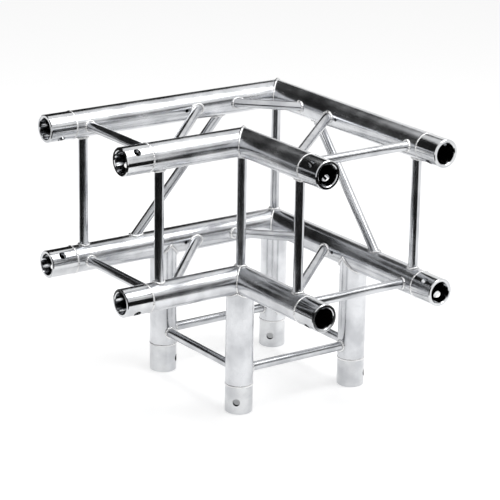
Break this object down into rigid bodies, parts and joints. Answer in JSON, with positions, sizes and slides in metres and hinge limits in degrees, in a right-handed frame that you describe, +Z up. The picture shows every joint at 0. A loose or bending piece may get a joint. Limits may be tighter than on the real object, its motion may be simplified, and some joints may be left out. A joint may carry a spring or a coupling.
{
  "type": "three way truss corner",
  "caption": "Three way corner of square aluminium truss: two level arms at a right angle and a leg down, with turned receivers on the chord ends and welded tube braces.",
  "frame": {"origin": "middle of the four leg ends, on the plane that they stand on", "axes": "+Z up from the leg ends; +X along one level arm and +Y along the other, each towards its open ends"},
  "size_m": [0.5024, 0.5024, 0.5008],
  "materials": {
    "chord": "bright extruded tube",
    "brace": "bright drawn tube",
    "receiver": "turned, bright",
    "weld": "rippled weld bead, bright"
  },
  "bodies": {
    "root": {"x_upper_outer_chord": "chord", "x_upper_inner_chord": "chord", "x_lower_outer_chord": "chord", "x_lower_inner_chord": "chord", "y_upper_outer_chord": "chord", "y_upper_inner_chord": "chord", "y_lower_outer_chord": "chord", "y_lower_inner_chord": "chord", "leg_outer_chord": "chord", "leg_x_chord": "chord", "leg_y_chord": "chord", "leg_inner_chord": "chord", "x_upper_outer_receiver": "receiver", "x_upper_inner_receiver": "receiver", "x_lower_outer_receiver": "receiver", "x_lower_inner_receiver": "receiver", "y_upper_outer_receiver": "receiver", "y_upper_inner_receiver": "receiver", "y_lower_outer_receiver": "receiver", "y_lower_inner_receiver": "receiver", "leg_outer_receiver": "receiver", "leg_x_receiver": "receiver", "leg_y_receiver": "receiver", "leg_inner_receiver": "receiver", "outer_corner_post": "brace", "inner_corner_post": "brace", "upper_corner_brace": "brace", "lower_corner_brace": "brace", "x_end_outer_post": "brace", "x_end_inner_post": "brace", "x_end_upper_brace": "brace", "x_end_lower_brace": "brace", "y_end_outer_post": "brace", "y_end_inner_post": "brace", "y_end_upper_brace": "brace", "y_end_lower_brace": "brace", "x_upper_diagonal": "brace", "x_lower_diagonal": "brace", "x_face_diagonal": "brace", "y_upper_diagonal": "brace", "y_lower_diagonal": "brace", "y_face_diagonal": "brace", "leg_outer_x_brace": "brace", "leg_outer_y_brace": "brace", "leg_inner_x_brace": "brace", "leg_inner_y_brace": "brace", "corner_welds": "weld", "x_arm_welds": "weld", "y_arm_welds": "weld", "leg_welds": "weld"}
  },
  "joints": []
}
